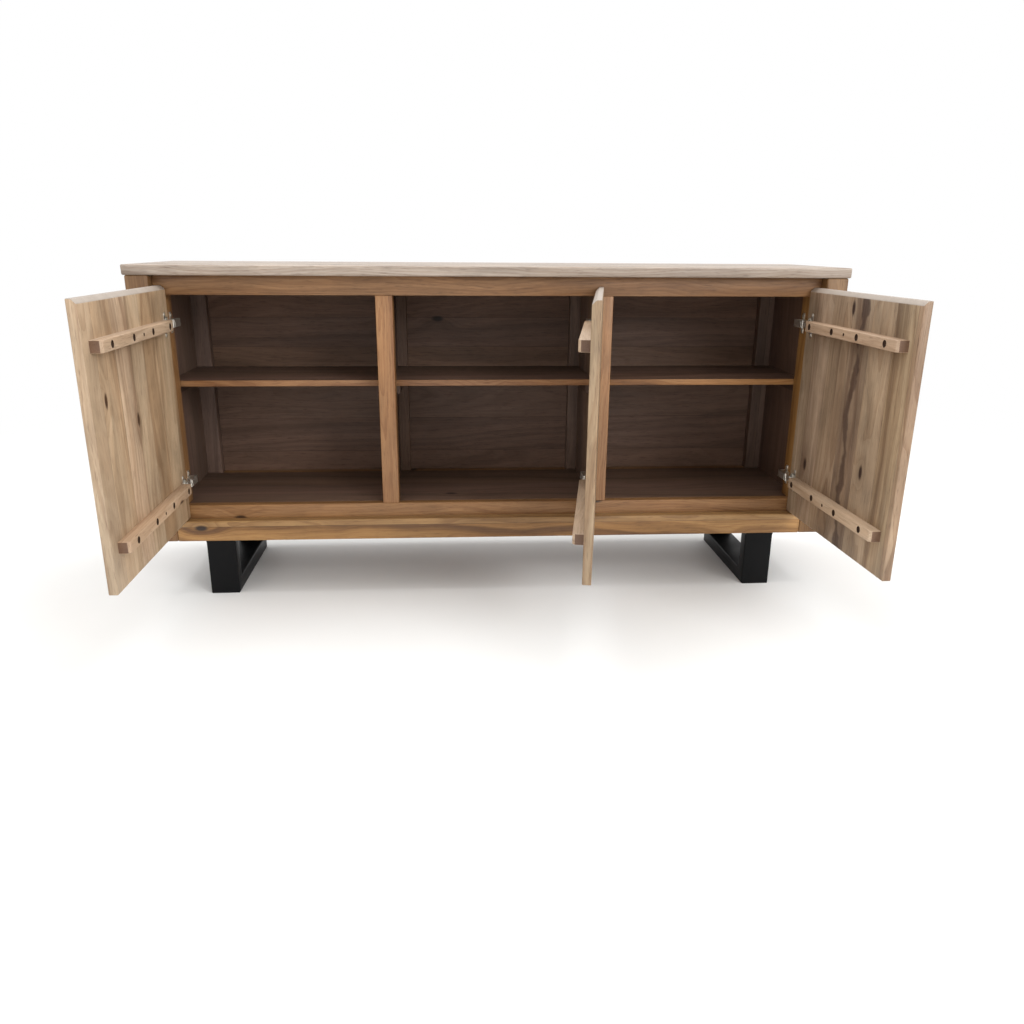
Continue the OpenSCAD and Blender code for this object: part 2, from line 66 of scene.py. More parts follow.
# %% Two small helpers for materials
def colour(hex_value):
    """An sRGB hex colour as linear red, green, blue and alpha."""
    parts = [int(hex_value[i : i + 2], 16) / 255 for i in (1, 3, 5)]
    return [p / 12.92 if p <= 0.04045 else ((p + 0.055) / 1.055) ** 2.4 for p in parts] + [1.0]


def add(tree, kind, takes=None, **settings):
    """One node, its settings, and what each of its inputs takes: a value or another output."""
    node = tree.nodes.new(kind)
    for key, value in settings.items():
        setattr(node, key, value)
    for key, value in (takes or {}).items():
        if isinstance(value, bpy.types.NodeSocket):
            tree.links.new(value, node.inputs[key])
        else:
            node.inputs[key].default_value = value
    return node


def blank(name):
    """A new material, its node tree and its shader."""
    material = bpy.data.materials.new(name)
    material.use_nodes = True
    return material, material.node_tree, material.node_tree.nodes["Principled BSDF"]


print("a mid brown in linear light:", [round(c, 3) for c in colour("#8B6845")])

# %% [markdown]
# ## Solid acacia
#
# Acacia is a hard, coarse timber: a pale yellow sapwood, a brown heartwood with darker streaks,
# and knots. Boards are sawn out of a round trunk, so the figure on a face is a slice through
# nested rings. It could be painted as stripes, but a slice through rings that wander along the
# trunk gives straight lines in one board and pointed arches in the next, as real boards have.
# Every wooden piece carries its own coordinates: across the board, through it and along the
# grain, in metres. Wide panels are glued from narrow staves, each from another part of the trunk.

# %% Staves
GLUE_LINE = 0.0003  # half its width; it fades out by 0.8 mm


def staves(tree, across, width):
    """The middle of a point's stave, three random numbers for that stave, and the glue lines."""
    spacing = {"W": across, "Scale": 1.0, "Randomness": 0.55}
    cell = add(tree, "ShaderNodeTexVoronoi", spacing, voronoi_dimensions="1D").outputs
    seam = add(
        tree, "ShaderNodeTexVoronoi", spacing, voronoi_dimensions="1D", feature="DISTANCE_TO_EDGE"
    ).outputs["Distance"]
    pick = add(tree, "ShaderNodeSeparateColor", {0: cell["Color"]}).outputs
    glue = add(
        tree, "ShaderNodeMapRange",
        {"Value": seam, "From Min": 0.0008 / width, "From Max": GLUE_LINE / width, "To Min": 0.0,
         "To Max": 0.6},
    ).outputs[0]
    return cell["W"], pick, glue


print("glue line, mm:", GLUE_LINE * 2000)

# %% [markdown]
# ### Knots
#
# A knot is the foot of a branch. It goes right through the board, so its place depends only on
# where a point is across and along the grain: a flat Voronoi pattern gives one spot in each cell,
# and a random number keeps only some of them. The rings bend round a knot for a hand's width.

# %% Knots
KNOTS_ACROSS, KNOTS_ALONG = 7.0, 3.3  # cells to the metre, so a knot is about 20 by 45 mm


def knots_in(tree, at, shift, fewest):
    """A mask of the knots themselves, and how hard the rings round them are pushed aside."""
    across = add(
        tree, "ShaderNodeMath", {0: at[0], 1: KNOTS_ACROSS, 2: shift}, operation="MULTIPLY_ADD"
    ).outputs[0]
    along = add(tree, "ShaderNodeMath", {0: at[2], 1: KNOTS_ALONG}, operation="MULTIPLY").outputs[0]
    place = add(tree, "ShaderNodeCombineXYZ", {0: across, 1: along}).outputs[0]
    spot = add(
        tree, "ShaderNodeTexVoronoi", {"Vector": place, "Scale": 1.0, "Randomness": 1.0},
        voronoi_dimensions="2D",
    ).outputs
    chance = add(tree, "ShaderNodeSeparateColor", {0: spot["Color"]}).outputs[0]
    chosen = add(tree, "ShaderNodeMath", {0: chance, 1: fewest}, operation="GREATER_THAN").outputs[0]
    masks = []
    for outer, inner in ((0.075, 0.03), (0.30, 0.0)):
        near = add(
            tree, "ShaderNodeMapRange",
            {"Value": spot["Distance"], "From Min": outer, "From Max": inner, "To Min": 0.0,
             "To Max": 1.0},
            interpolation_type="SMOOTHSTEP",
        ).outputs[0]
        masks.append(add(tree, "ShaderNodeMath", {0: near, 1: chosen}, operation="MULTIPLY").outputs[0])
    return masks


print("a knot cell, metres:", round(1 / KNOTS_ACROSS, 3), "by", round(1 / KNOTS_ALONG, 3))

# %% [markdown]
# ### Rings
#
# Here the slice through the trunk is made. Each stave gets a pith line of its own, somewhere
# beneath it. A slow noise, longer along the grain than across it, makes the trunk wander. The
# distance from the wandering pith, divided by the width of a ring, counts the years.


# %% Rings
def ring_radius(tree, at, along, across, stave_middle, pick, width, push):
    """Distance from the middle of the trunk that a stave was cut from, in metres."""
    # The trunk bends about every 170 mm across it and 600 mm along it, by up to 55 mm
    slow = add(
        tree, "ShaderNodeCombineXYZ",
        {0: add(tree, "ShaderNodeMath", {0: at[0], 1: 6.0}, operation="MULTIPLY").outputs[0],
         1: add(tree, "ShaderNodeMath", {0: at[1], 1: 6.0}, operation="MULTIPLY").outputs[0],
         2: add(tree, "ShaderNodeMath", {0: along, 1: 1.7}, operation="MULTIPLY").outputs[0]},
    ).outputs[0]
    wander = add(
        tree, "ShaderNodeTexNoise", {"Vector": slow, "Scale": 1.0, "Detail": 3.0, "Roughness": 0.45}
    ).outputs["Color"]
    drift = add(
        tree, "ShaderNodeVectorMath", {0: wander, 1: (-0.5, -0.5, -0.5)}, operation="ADD"
    ).outputs[0]
    drift = add(tree, "ShaderNodeVectorMath", {0: drift, "Scale": 0.11}, operation="SCALE").outputs[0]
    inside = add(
        tree, "ShaderNodeMath", {0: across, 1: stave_middle}, operation="SUBTRACT"
    ).outputs[0]
    pith = add(
        tree, "ShaderNodeMath", {0: pick[0], 1: 0.28, 2: -0.14}, operation="MULTIPLY_ADD"
    ).outputs[0]
    out_x = add(
        tree, "ShaderNodeMath", {0: inside, 1: width, 2: pith}, operation="MULTIPLY_ADD"
    ).outputs[0]
    depth = add(
        tree, "ShaderNodeMath", {0: pick[1], 1: 0.09, 2: 0.02}, operation="MULTIPLY_ADD"
    ).outputs[0]
    out_y = add(tree, "ShaderNodeMath", {0: at[1], 1: depth}, operation="ADD").outputs[0]
    flat = add(tree, "ShaderNodeCombineXYZ", {0: out_x, 1: out_y}).outputs[0]
    bent = add(tree, "ShaderNodeVectorMath", {0: flat, 1: drift}, operation="ADD").outputs[0]
    bent = add(
        tree, "ShaderNodeVectorMath", {0: bent, 1: (1.0, 1.0, 0.0)}, operation="MULTIPLY"
    ).outputs[0]
    radius = add(tree, "ShaderNodeVectorMath", {0: bent}, operation="LENGTH").outputs["Value"]
    # A knot pushes the rings round it out by up to 22 mm
    return add(
        tree, "ShaderNodeMath", {0: push, 1: 0.022, 2: radius}, operation="MULTIPLY_ADD"
    ).outputs[0]


def ring_masks(tree, radius, along, ring, figure):
    """Thin late-wood lines, broad bands of heartwood, and narrow dark streaks."""
    # Wood darkens towards the end of its year, and some years leave a stronger line than others
    years = add(tree, "ShaderNodeMath", {0: radius, 1: 1 / ring}, operation="MULTIPLY").outputs[0]
    year = add(tree, "ShaderNodeMath", {0: years}, operation="FRACT").outputs[0]
    late = add(tree, "ShaderNodeMath", {0: year, 1: 2.5}, operation="POWER").outputs[0]
    strong = add(
        tree, "ShaderNodeTexNoise", {"W": years, "Scale": 0.43, "Detail": 2.0}, noise_dimensions="1D"
    ).outputs[0]
    late = add(tree, "ShaderNodeMath", {0: late, 1: strong}, operation="MULTIPLY").outputs[0]
    late = add(tree, "ShaderNodeMath", {0: late, 1: figure}, operation="MULTIPLY").outputs[0]
    # Bands and streaks are many years wide, about 40 mm, and change along the board
    streak_w = add(
        tree, "ShaderNodeMath", {0: radius, 1: 24.0, 2: along}, operation="MULTIPLY_ADD"
    ).outputs[0]
    streak = add(
        tree, "ShaderNodeTexNoise", {"W": streak_w, "Scale": 1.0, "Detail": 4.0, "Roughness": 0.62},
        noise_dimensions="1D",
    ).outputs[0]
    shares = []
    for low, high, most in ((0.30, 0.70, 1.0), (0.58, 0.80, 0.9 * figure)):
        shares.append(
            add(
                tree, "ShaderNodeMapRange",
                {"Value": streak, "From Min": low, "From Max": high, "To Min": 0.0, "To Max": most},
                interpolation_type="SMOOTHSTEP",
            ).outputs[0]
        )
    return late, *shares


print("piths lie within, metres:", 0.14, "to the side and", round(0.02 + 0.09, 2), "below")

# %% [markdown]
# ### Fibres, pores and patches
#
# Between the rings the eye still finds detail: fibres, open pores, and slow patches where the
# heartwood comes nearer to the face. Fibres are drawn 3 mm wide and 250 mm long. Real pores are
# under a millimetre wide, and are drawn at 1.5 mm so that they still show from across a room.

# %% Fibres, pores and patches
# Cells to the metre across, through and along the grain, and how each noise is drawn
FIBRES = (320.0, 320.0, 5.0), {"Detail": 3.0, "Roughness": 0.6}
PORES = (680.0, 680.0, 38.0), {"Detail": 1.0}
PATCHES = (13.0, 13.0, 4.5), {"Detail": 4.0, "Roughness": 0.55, "Distortion": 0.8}


def fine_figure(tree, grain):
    """Fibres, a mask of the pores, and slow patches: three noises drawn out along the grain."""
    drawn = []
    for per_metre, way in (FIBRES, PORES, PATCHES):
        place = add(
            tree, "ShaderNodeVectorMath", {0: grain, 1: per_metre}, operation="MULTIPLY"
        ).outputs[0]
        drawn.append(add(tree, "ShaderNodeTexNoise", {"Vector": place, "Scale": 1.0, **way}).outputs[0])
    fibre, pore, patches = drawn
    pores = add(
        tree, "ShaderNodeMapRange",
        {"Value": pore, "From Min": 0.60, "From Max": 0.70, "To Min": 0.0, "To Max": 1.0},
    ).outputs[0]
    return fibre, pores, patches


print("a fibre, mm:", [round(1000 / cells) for cells in FIBRES[0]])

# %% [markdown]
# ### Heart streaks
#
# Some door panels have a board from the very middle of the trunk, and its dark heart wanders up
# the face. Rings alone don't give it, because their dark bands follow the staves. Here a slow
# noise bends a line along the board, a second noise makes it swell and fade, and fibres fray it.

# %% Heart streaks
HEART_TINT = "#4E382F"
HEART_SWAY = 0.09  # how far the streak wanders from side to side, metres


def heart_streak(tree, at, shift, fibre, middle):
    """A mask of a streak that wanders about a line, middle metres from the middle of the board."""
    # It changes its course about every 250 mm
    path = add(
        tree, "ShaderNodeMath", {0: at[2], 1: 4.0, 2: shift}, operation="MULTIPLY_ADD"
    ).outputs[0]
    wobble = add(
        tree, "ShaderNodeTexNoise", {"W": path, "Scale": 1.0, "Detail": 4.0, "Roughness": 0.6},
        noise_dimensions="1D",
    ).outputs[0]
    centre = add(
        tree, "ShaderNodeMath", {0: wobble, 1: HEART_SWAY, 2: middle - HEART_SWAY / 2},
        operation="MULTIPLY_ADD",
    ).outputs[0]
    away = add(tree, "ShaderNodeMath", {0: at[0], 1: centre}, operation="SUBTRACT").outputs[0]
    away = add(tree, "ShaderNodeMath", {0: away}, operation="ABSOLUTE").outputs[0]
    ragged = add(
        tree, "ShaderNodeMath", {0: fibre, 1: 0.012, 2: away}, operation="MULTIPLY_ADD"
    ).outputs[0]
    swell = add(
        tree, "ShaderNodeTexNoise", {"W": path, "Scale": 3.1, "Detail": 3.0}, noise_dimensions="1D"
    ).outputs[0]
    # Half its width, which swells and shrinks between about 5 and 25 mm
    half_width = add(
        tree, "ShaderNodeMath", {0: swell, 1: 0.05, 2: -0.009}, operation="MULTIPLY_ADD"
    ).outputs[0]
    inside = add(
        tree, "ShaderNodeMath", {0: half_width, 1: ragged}, operation="SUBTRACT"
    ).outputs[0]
    return add(
        tree, "ShaderNodeMapRange",
        {"Value": inside, "From Min": -0.006, "From Max": 0.004, "To Min": 0.0, "To Max": 0.75},
        interpolation_type="SMOOTHSTEP",
    ).outputs[0]


print("a heart streak wanders, mm:", 1000 * HEART_SWAY)

# %% [markdown]
# ### The finished wood
#
# The masks are laid over each other in the order in which wood gets its colour: pale to mid along
# the bands, dark streaks, late lines, fibres and pores, the tone of the stave, the glue line and
# the knot. An oil finish leaves the surface half matt, and pores, glue lines and knots lie a
# fraction of a millimetre low.


# %% Acacia, as sawn boards
def acacia(
    name, pale, mid, dark, knot, stave=0.09, ring=0.007, spread=0.3, knots=0.62, polish=0.46,
    figure=1.0, patch=0.32, heart_at=None,
):
    """stave and ring are real widths in metres; spread is how far staves differ in tone, figure
    how strong the rings are, and patch how far the tone drifts within a board. Only knots whose
    random number is above knots are kept. polish is the roughness. heart_at is how far a heart
    streak lies from the middle of the board, in metres."""
    material, tree, shader = blank(name)
    grain = add(tree, "ShaderNodeAttribute", attribute_name="grain").outputs["Vector"]
    board = add(tree, "ShaderNodeAttribute", attribute_name="board").outputs["Fac"]
    shade = add(tree, "ShaderNodeAttribute", attribute_name="shade").outputs["Fac"]
    at = add(tree, "ShaderNodeSeparateXYZ", {0: grain}).outputs

    shift = add(tree, "ShaderNodeMath", {0: board, 1: 37.0}, operation="MULTIPLY").outputs[0]
    across = add(
        tree, "ShaderNodeMath", {0: at[0], 1: 1 / stave, 2: shift}, operation="MULTIPLY_ADD"
    ).outputs[0]
    middle, pick, glue = staves(tree, across, stave)
    along = add(
        tree, "ShaderNodeMath", {0: pick[2], 1: 40.0, 2: at[2]}, operation="MULTIPLY_ADD"
    ).outputs[0]
    knot_mask, push = knots_in(tree, at, shift, knots)
    radius = ring_radius(tree, at, along, across, middle, pick, stave, push)
    late, bands, streaks = ring_masks(tree, radius, along, ring, figure)
    fibre, pores, patches = fine_figure(tree, grain)

    # Colour: pale to mid along the bands, then dark streaks, late lines, fibres and pores
    fibre_share = add(
        tree, "ShaderNodeMapRange",
        {"Value": fibre, "From Min": 0.40, "From Max": 0.75, "To Min": 0.0, "To Max": 0.38 * figure},
    ).outputs[0]
    pore_share = add(tree, "ShaderNodeMath", {0: pores, 1: 0.35}, operation="MULTIPLY").outputs[0]
    layers = [
        (bands, mid, "MIX"),
        (streaks, dark, "MIX"),
        (late, "#BFA68C", "MULTIPLY"),
        (fibre_share, "#A98A6C", "MULTIPLY"),
        (pore_share, "#6E4F38", "MULTIPLY"),
    ]
    if heart_at is not None:
        layers.insert(2, (heart_streak(tree, at, shift, fibre, heart_at), HEART_TINT, "MIX"))
    wood = colour(pale)
    for share, tint, blend in layers:
        wood = add(
            tree, "ShaderNodeMix", {0: share, 6: wood, 7: colour(tint)},
            data_type="RGBA", blend_type=blend,
        ).outputs[2]

    # Tone: each stave has its own, patches drift within it, and a whole board has its shade, on some
    # boards painted shade
    value = add(
        tree, "ShaderNodeMath", {0: pick[1], 1: spread, 2: 1 - spread * 0.55},
        operation="MULTIPLY_ADD",
    ).outputs[0]
    drifted = add(
        tree, "ShaderNodeMapRange",
        {"Value": patches, "From Min": 0.3, "From Max": 0.7, "To Min": 1 - patch / 2,
         "To Max": 1 + patch / 2},
    ).outputs[0]
    for factor in (drifted, shade):
        value = add(tree, "ShaderNodeMath", {0: value, 1: factor}, operation="MULTIPLY").outputs[0]
    hue = add(
        tree, "ShaderNodeMath", {0: pick[0], 1: 0.010, 2: 0.495}, operation="MULTIPLY_ADD"
    ).outputs[0]
    warm = add(
        tree, "ShaderNodeMath", {0: pick[2], 1: 0.16, 2: 0.92}, operation="MULTIPLY_ADD"
    ).outputs[0]
    wood = add(
        tree, "ShaderNodeHueSaturation",
        {"Hue": hue, "Saturation": warm, "Value": value, "Color": wood},
    ).outputs[0]
    for share, tint in ((glue, "#3E2A1C"), (knot_mask, knot)):
        wood = add(
            tree, "ShaderNodeMix", {0: share, 6: wood, 7: colour(tint)}, data_type="RGBA"
        ).outputs[2]
    tree.links.new(wood, shader.inputs["Base Color"])

    # Oiled wood: the fibres differ a little in gloss, and what is open or soft lies low
    rough = add(
        tree, "ShaderNodeMapRange",
        {"Value": fibre, "From Min": 0.3, "From Max": 0.7, "To Min": polish - 0.07,
         "To Max": polish + 0.1},
    ).outputs[0]
    tree.links.new(rough, shader.inputs["Roughness"])
    height = fibre
    for mask, sink in ((pores, -0.8), (glue, -2.0), (knot_mask, -0.6)):
        height = add(
            tree, "ShaderNodeMath", {0: mask, 1: sink, 2: height}, operation="MULTIPLY_ADD"
        ).outputs[0]
    bump = add(tree, "ShaderNodeBump", {"Height": height, "Strength": 0.35, "Distance": 0.0006})
    tree.links.new(bump.outputs[0], shader.inputs["Normal"])
    return material


print("rings in a usual stave:", round(0.09 / 0.007))

# %% [markdown]
# ### The woods of this piece
#
# One timber gives seven looks, because boards are picked and oiled for their place. Each wood has
# four tones, from pale sapwood to knot, the width of its staves and rings, and how lively it is.

# %% Seven kinds of board
# The slab: grey-brown, its grey partly a painted sheen, in wide quiet staves, with a soft shine
top_wood = acacia(
    "oiled acacia, live-edge slab", "#B8AA9C", "#97887A", "#6E5F53", "#38291F", stave=0.16, ring=0.008,
    spread=0.18, polish=0.36, figure=0.8,
)
# The frame: warm brown heartwood, so the case reads as one solid colour round the openings
frame_wood = acacia(
    "oiled acacia, frame", "#A98055", "#8A623B", "#654429", "#34200F", stave=0.2, ring=0.008,
    spread=0.2, knots=0.5, figure=0.8,
)
# The bottom rail: paler, with more knots and stronger lines than the frame above it
rail_wood = acacia(
    "oiled acacia, pale rail", "#AC8351", "#8A6338", "#5F4026", "#2B1A10", stave=0.2, ring=0.009,
    spread=0.15, knots=0.3, figure=0.9,
)
# The inside: dull, with hardly any figure, and darkened as painted shade, so the compartments look deep
shaded_inner_wood = acacia(
    "oiled acacia, inside, painted shade", "#7A6152", "#644E40", "#4C3A30", "#2A1C15", stave=0.1, ring=0.008,
    spread=0.12, polish=0.6, figure=0.35, patch=0.2, knots=0.97,
)
# Doors: honey sapwood in narrow staves of clearly different tones
door_wood = acacia(
    "oiled acacia, door staves", "#C9AF8F", "#AA8C6C", "#7E624B", "#46301F", stave=0.095, ring=0.014,
    spread=0.2, figure=0.5, patch=0.5, knots=0.6,
)
# One door is greyer and livelier, with a dark heart streak a little off its middle
heart_wood = acacia(
    "oiled acacia, door staves with heart streaks", "#BBA387", "#947A61", "#644C40", "#33221A",
    stave=0.095, ring=0.014, spread=0.22, figure=0.7, patch=0.55, knots=0.66, heart_at=0.022,
)
# Battens: straight, pale and free of knots, as wood for screwing through has to be
batten_wood = acacia(
    "oiled acacia, battens", "#CBB297", "#AD9175", "#8C7056", "#46301F", stave=0.2, ring=0.011,
    spread=0.1, knots=0.9, figure=0.5, patch=0.2,
)
print("wood materials:", [m.name for m in bpy.data.materials if "acacia" in m.name])

# %% [markdown]
# ### End grain
#
# Where a board is cut across, there are no lines, only the ends of the fibres. Sanded smooth it
# shows a speckle of cut pores. Inside a bored hole it is left rough and drinks the oil; it is
# painted nearly black, partly for the oil and partly as painted shade in the hole, which is what
# makes a small hole read as a hole.


# %% End grain, soaked and sanded
def soaked(name):
    """End grain inside a bored hole: oil-soaked and painted shade, nearly black, with no shine."""
    material, tree, shader = blank(name)
    place = add(tree, "ShaderNodeTexCoord").outputs["Object"]
    # Fibre ends of about 0.7 mm, so about 1400 to the metre
    ends = add(tree, "ShaderNodeTexNoise", {"Vector": place, "Scale": 1400.0, "Detail": 2.0}).outputs[0]
    brown = add(
        tree, "ShaderNodeMix", {0: ends, 6: colour("#1E120B"), 7: colour("#3A2618")}, data_type="RGBA"
    ).outputs[2]
    tree.links.new(brown, shader.inputs["Base Color"])
    shader.inputs["Roughness"].default_value = 0.8
    shader.inputs["Specular IOR Level"].default_value = 0.2
    bump = add(tree, "ShaderNodeBump", {"Height": ends, "Strength": 0.4, "Distance": 0.0004})
    tree.links.new(bump.outputs[0], shader.inputs["Normal"])
    return material


def sanded(name, light, dull):
    """End grain sanded smooth: no lines along it, only the speckle of cut pores."""
    material, tree, shader = blank(name)
    grain = add(tree, "ShaderNodeAttribute", attribute_name="grain").outputs["Vector"]
    # Specks of about 2 mm, coarser than real pores so that they show, and patches of 40 mm
    speck = add(tree, "ShaderNodeTexVoronoi", {"Vector": grain, "Scale": 520.0}).outputs["Distance"]
    tone = add(tree, "ShaderNodeTexNoise", {"Vector": grain, "Scale": 26.0, "Detail": 4.0}).outputs[0]
    share = add(
        tree, "ShaderNodeMath", {0: speck, 1: 0.35, 2: tone}, operation="MULTIPLY_ADD"
    ).outputs[0]
    wood = add(
        tree, "ShaderNodeMix", {0: share, 6: colour(light), 7: colour(dull)}, data_type="RGBA"
    ).outputs[2]
    tree.links.new(wood, shader.inputs["Base Color"])
    shader.inputs["Roughness"].default_value = 0.5
    bump = add(tree, "ShaderNodeBump", {"Height": speck, "Strength": 0.2, "Distance": 0.0004})
    tree.links.new(bump.outputs[0], shader.inputs["Normal"])
    return material


# The walls of small holes: nearly black, oil-soaked and painted shade, so a hole reads as deep
bore_soak_and_shade = soaked("oil-soaked end grain with painted shade in the bores")
# The tops of the doors: paler and greyer than their faces, a painted highlight from the light
# above, so the chamfer catches the light
door_top_highlight = sanded("sanded end grain, tops of the doors", "#B4A89C", "#988B7F")
# The ends of the battens: darker than their sides, so the bars read as square
batten_end = sanded("oiled end grain, batten ends", "#8A6A52", "#5E4433")
print("end grain:", bore_soak_and_shade.name, "/", door_top_highlight.name, "/", batten_end.name)

# %% [markdown]
# ### Cleats
#
# The cleats under the shelves keep their CAD shape, which has no grain coordinates. They sit in
# deep shade, so a plain stripe along their length is enough: Object coordinates, which are metres
# in the frame, are squeezed across the cleat and stretched along it.

# %% Cleat wood
# Dark brown, with soft stripes that run from front to back
cleat_wood, tree, shader = blank("oiled acacia, cleats")
place = add(tree, "ShaderNodeTexCoord").outputs["Object"]
stretched = add(
    tree, "ShaderNodeVectorMath", {0: place, 1: (220.0, 6.0, 220.0)}, operation="MULTIPLY"
).outputs[0]
stripes = add(tree, "ShaderNodeTexNoise", {"Vector": stretched, "Scale": 1.0, "Detail": 3.0}).outputs[0]
brown = add(
    tree, "ShaderNodeMix", {0: stripes, 6: colour("#5A4233"), 7: colour("#39281F")}, data_type="RGBA"
).outputs[2]
tree.links.new(brown, shader.inputs["Base Color"])
shader.inputs["Roughness"].default_value = 0.6
bump = add(tree, "ShaderNodeBump", {"Height": stripes, "Strength": 0.2, "Distance": 0.0005})
tree.links.new(bump.outputs[0], shader.inputs["Normal"])
print("stripes on the cleats, mm:", round(1000 / 220, 1))

# %% [markdown]
# ## Steel, nickel and zinc
#
# The legs are mild steel tube, powder coated satin black: the powder melts into a skin with a
# faint orange-peel texture about a millimetre across. The hinges are pressed steel, bright nickel
# plated, with a little unevenness from tumbling. The screws are zinc plated and darkened.


# %% Powder coat, nickel and dark zinc
def powder_coat(name):
    """A baked plastic skin: nearly black, with a wide dull highlight that the peel breaks up."""
    material, tree, shader = blank(name)
    place = add(tree, "ShaderNodeTexCoord").outputs["Object"]
    # Orange peel: lumps of about 1.2 mm, so about 800 to the metre
    peel = add(tree, "ShaderNodeTexNoise", {"Vector": place, "Scale": 800.0, "Detail": 2.0}).outputs[0]
    haze = add(tree, "ShaderNodeTexNoise", {"Vector": place, "Scale": 9.0, "Detail": 4.0}).outputs[0]
    black = add(
        tree, "ShaderNodeMix", {0: haze, 6: colour("#040405"), 7: colour("#08080A")}, data_type="RGBA"
    ).outputs[2]
    tree.links.new(black, shader.inputs["Base Color"])
    rough = add(
        tree, "ShaderNodeMapRange",
        {"Value": haze, "From Min": 0.3, "From Max": 0.7, "To Min": 0.40, "To Max": 0.54},
    ).outputs[0]
    tree.links.new(rough, shader.inputs["Roughness"])
    shader.inputs["Specular IOR Level"].default_value = 0.16
    bump = add(tree, "ShaderNodeBump", {"Height": peel, "Strength": 0.12, "Distance": 0.0004})
    tree.links.new(bump.outputs[0], shader.inputs["Normal"])
    return material


def plated(name, bright, dull, low, high):
    """A thin metal skin: mirror-like but clouded, between two colours and two roughnesses."""
    material, tree, shader = blank(name)
    place = add(tree, "ShaderNodeTexCoord").outputs["Object"]
    # Clouds of about 14 mm and a grit of about 1 mm, coarser than the real one so that it shows
    cloud = add(tree, "ShaderNodeTexNoise", {"Vector": place, "Scale": 70.0, "Detail": 4.0}).outputs[0]
    grit = add(tree, "ShaderNodeTexNoise", {"Vector": place, "Scale": 900.0, "Detail": 2.0}).outputs[0]
    metal = add(
        tree, "ShaderNodeMix", {0: cloud, 6: colour(bright), 7: colour(dull)}, data_type="RGBA"
    ).outputs[2]
    tree.links.new(metal, shader.inputs["Base Color"])
    shader.inputs["Metallic"].default_value = 1.0
    rough = add(
        tree, "ShaderNodeMapRange",
        {"Value": cloud, "From Min": 0.3, "From Max": 0.7, "To Min": low, "To Max": high},
    ).outputs[0]
    tree.links.new(rough, shader.inputs["Roughness"])
    bump = add(tree, "ShaderNodeBump", {"Height": grit, "Strength": 0.08, "Distance": 0.0002})
    tree.links.new(bump.outputs[0], shader.inputs["Normal"])
    return material


# The legs: nearly black with a dull sheen, so they read as heavy and plain under the wood
black_steel = powder_coat("satin black powder coat on steel")
# Nickel is pale and warm, and lights up the hinges against the dark wood
nickel = plated("bright nickel plate", "#F6F3EC", "#E0DCD2", 0.34, 0.5)
# Darkened zinc is nearly black, so screw heads sink into their holes
dark_zinc = plated("darkened zinc plate", "#3B352F", "#1E1A17", 0.40, 0.58)
print("metals:", black_steel.name, "/", nickel.name, "/", dark_zinc.name)

# %% [markdown]
# ## Boards
#
# A sawn and planed board is a box whose edges the maker eases with sandpaper. It could be a cube
# with a Bevel modifier; here the bevel is in the mesh, so that each point can carry its place in
# the board as the grain coordinates. The number that goes with a board picks its piece of trunk.

# %% A box, eased
X, Y, Z = 0, 1, 2
EASED = 0.0022  # the usual rounding of a sawn edge, metres


def box_mesh(low, high):
    """A bmesh box between two corners."""
    bm = bmesh.new()
    bmesh.ops.create_cube(bm, size=1)
    bmesh.ops.scale(bm, vec=Vector(high) - Vector(low), verts=bm.verts)
    bmesh.ops.translate(bm, vec=(Vector(low) + Vector(high)) / 2, verts=bm.verts)
    return bm


def ease(bm, radius, segments=3, edges=None):
    """Rounds the given edges, or every one of them."""
    chosen = bm.edges[:] if edges is None else edges
    bmesh.ops.bevel(
        bm, geom=chosen, offset=radius, segments=segments, profile=0.5, affect="EDGES", material=-1
    )


trial = box_mesh((0, 0, 0), (1, 1, 1))
ease(trial, EASED)
print("faces of an eased box:", len(trial.faces))
trial.free()

# %% [markdown]
# ### From a bmesh to a piece
#
# Every shape ends in the same way: it is carried to its place, smoothed except at sharp edges,
# given a finish and tied to the body that it moves with, and the CAD parts it stands for are
# hidden. Its place goes into the mesh, so the object itself stays at the origin. Wood also needs to
# know where each of its points was in the tree, and that is written on the points.

# %% From a bmesh to a piece
WHOLE = Matrix.Identity(4)
SHARP = math.radians(40)  # edges that turn by more than this stay crisp


def finish_mesh(bm, name, material, body, stands_for, place=WHOLE):
    """Turns a bmesh into a piece that rides on its body and stands for its CAD nodes."""
    bmesh.ops.transform(bm, matrix=place, verts=bm.verts)
    if place.determinant() < 0:
        bmesh.ops.reverse_faces(bm, faces=bm.faces)
    mesh = bpy.data.meshes.new(name)
    bm.to_mesh(mesh)
    bm.free()
    for face in mesh.polygons:
        face.use_smooth = True
    mesh.set_sharp_from_angle(angle=SHARP)
    piece = bpy.data.objects.new(name, mesh)
    bpy.context.collection.objects.link(piece)
    mesh.materials.append(material)
    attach(piece, body)
    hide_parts(*stands_for)
    return piece


def grain_of(bm, low, high, along, number, shade=1.0):
    """Gives every point its place in the board, across, through and along the grain, with the
    board's random number and how light or dark the whole board is, on some boards painted shade."""
    size = Vector(high) - Vector(low)
    rest = sorted((axis for axis in range(3) if axis != along), key=lambda axis: -size[axis])
    middle = (Vector(low) + Vector(high)) / 2
    grain = bm.verts.layers.float_vector.new("grain")
    chance = bm.verts.layers.float.new("board")
    tone = bm.verts.layers.float.new("shade")
    for vert in bm.verts:
        place = vert.co - middle
        # Each board starts 1.7 m further along the trunk than the one before it
        vert[grain] = (place[rest[0]], place[rest[1]], place[along] + number * 1.7)
        vert[chance] = (number * 0.618) % 1
        vert[tone] = shade


print("sharp edges turn by more than, degrees:", round(math.degrees(SHARP)))

